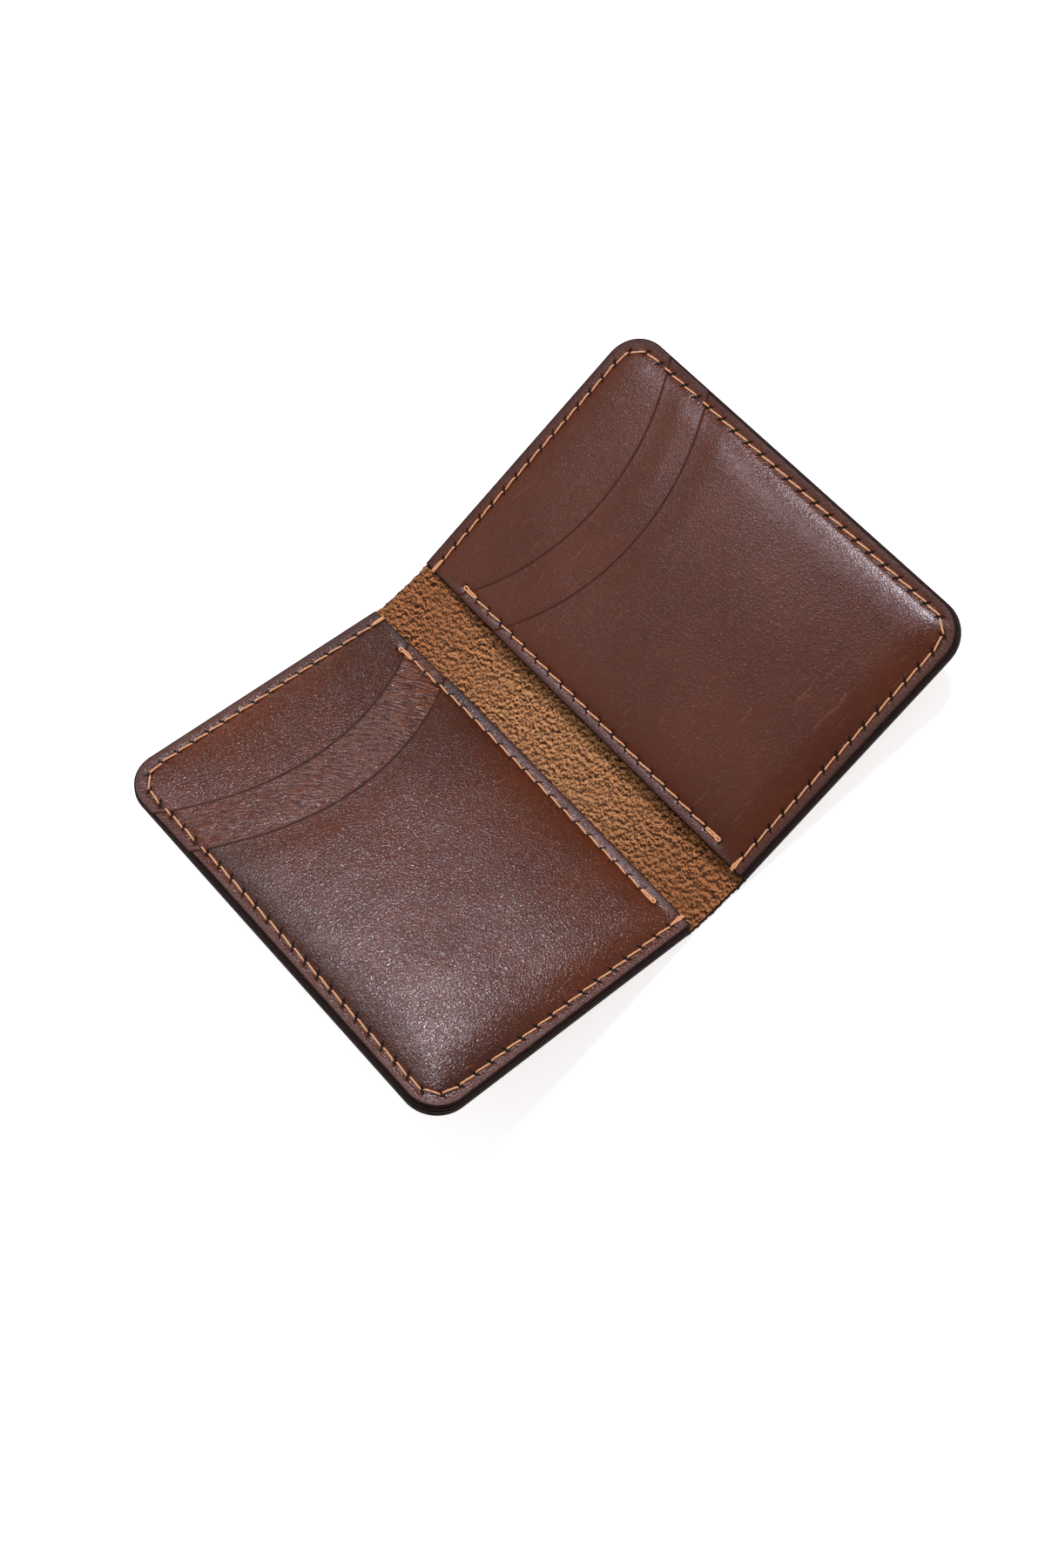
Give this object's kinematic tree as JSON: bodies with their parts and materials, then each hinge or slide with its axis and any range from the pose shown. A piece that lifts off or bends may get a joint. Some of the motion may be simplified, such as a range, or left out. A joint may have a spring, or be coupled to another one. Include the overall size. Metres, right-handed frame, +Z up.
{
  "type": "bifold wallet",
  "caption": "Open leather bifold card wallet: a sewn cover creased at the spine, and on each half a back panel with curved-mouth card pockets.",
  "frame": {"origin": "middle of the spine strip's outer face, which lies on the table", "axes": "+X across the wallet to the right half, +Y along the spine towards the pocket mouths, +Z up from the table"},
  "size_m": [0.146, 0.101, 0.0313],
  "materials": {
    "cover_leather": "smooth grain outside, brown suede inside, burnished edges",
    "panel_leather": "smooth full-grain, satin, fine pores",
    "pocket_leather": "smooth full-grain, satin, fine pores and wrinkles",
    "thread": "waxed twisted polyester thread"
  },
  "bodies": {
    "spine": {"spine_cover": "cover_leather"},
    "left_half": {"left_cover": "cover_leather", "left_back_panel": "panel_leather", "left_rear_pocket": "pocket_leather", "left_front_pocket": "pocket_leather", "left_edge_seam_top_thread": "thread", "left_edge_seam_under_thread": "thread", "left_pocket_seam_top_thread": "thread", "left_pocket_seam_under_thread": "thread"},
    "right_half": {"right_cover": "cover_leather", "right_back_panel": "panel_leather", "right_rear_pocket": "pocket_leather", "right_front_pocket": "pocket_leather", "right_edge_seam_top_thread": "thread", "right_edge_seam_under_thread": "thread", "right_pocket_seam_top_thread": "thread", "right_pocket_seam_under_thread": "thread"}
  },
  "joints": [
    {"name": "left_fold", "type": "hinge", "parent": "spine", "child": "left_half", "pos_m": [-0.0061, 0, 0.0006], "axis": [0, 1, 0], "range_deg": [-23, 67]},
    {"name": "right_fold", "type": "hinge", "parent": "spine", "child": "right_half", "pos_m": [0.0061, 0, 0.0006], "axis": [0, -1, 0], "range_deg": [-11.5, 78.5]}
  ]
}
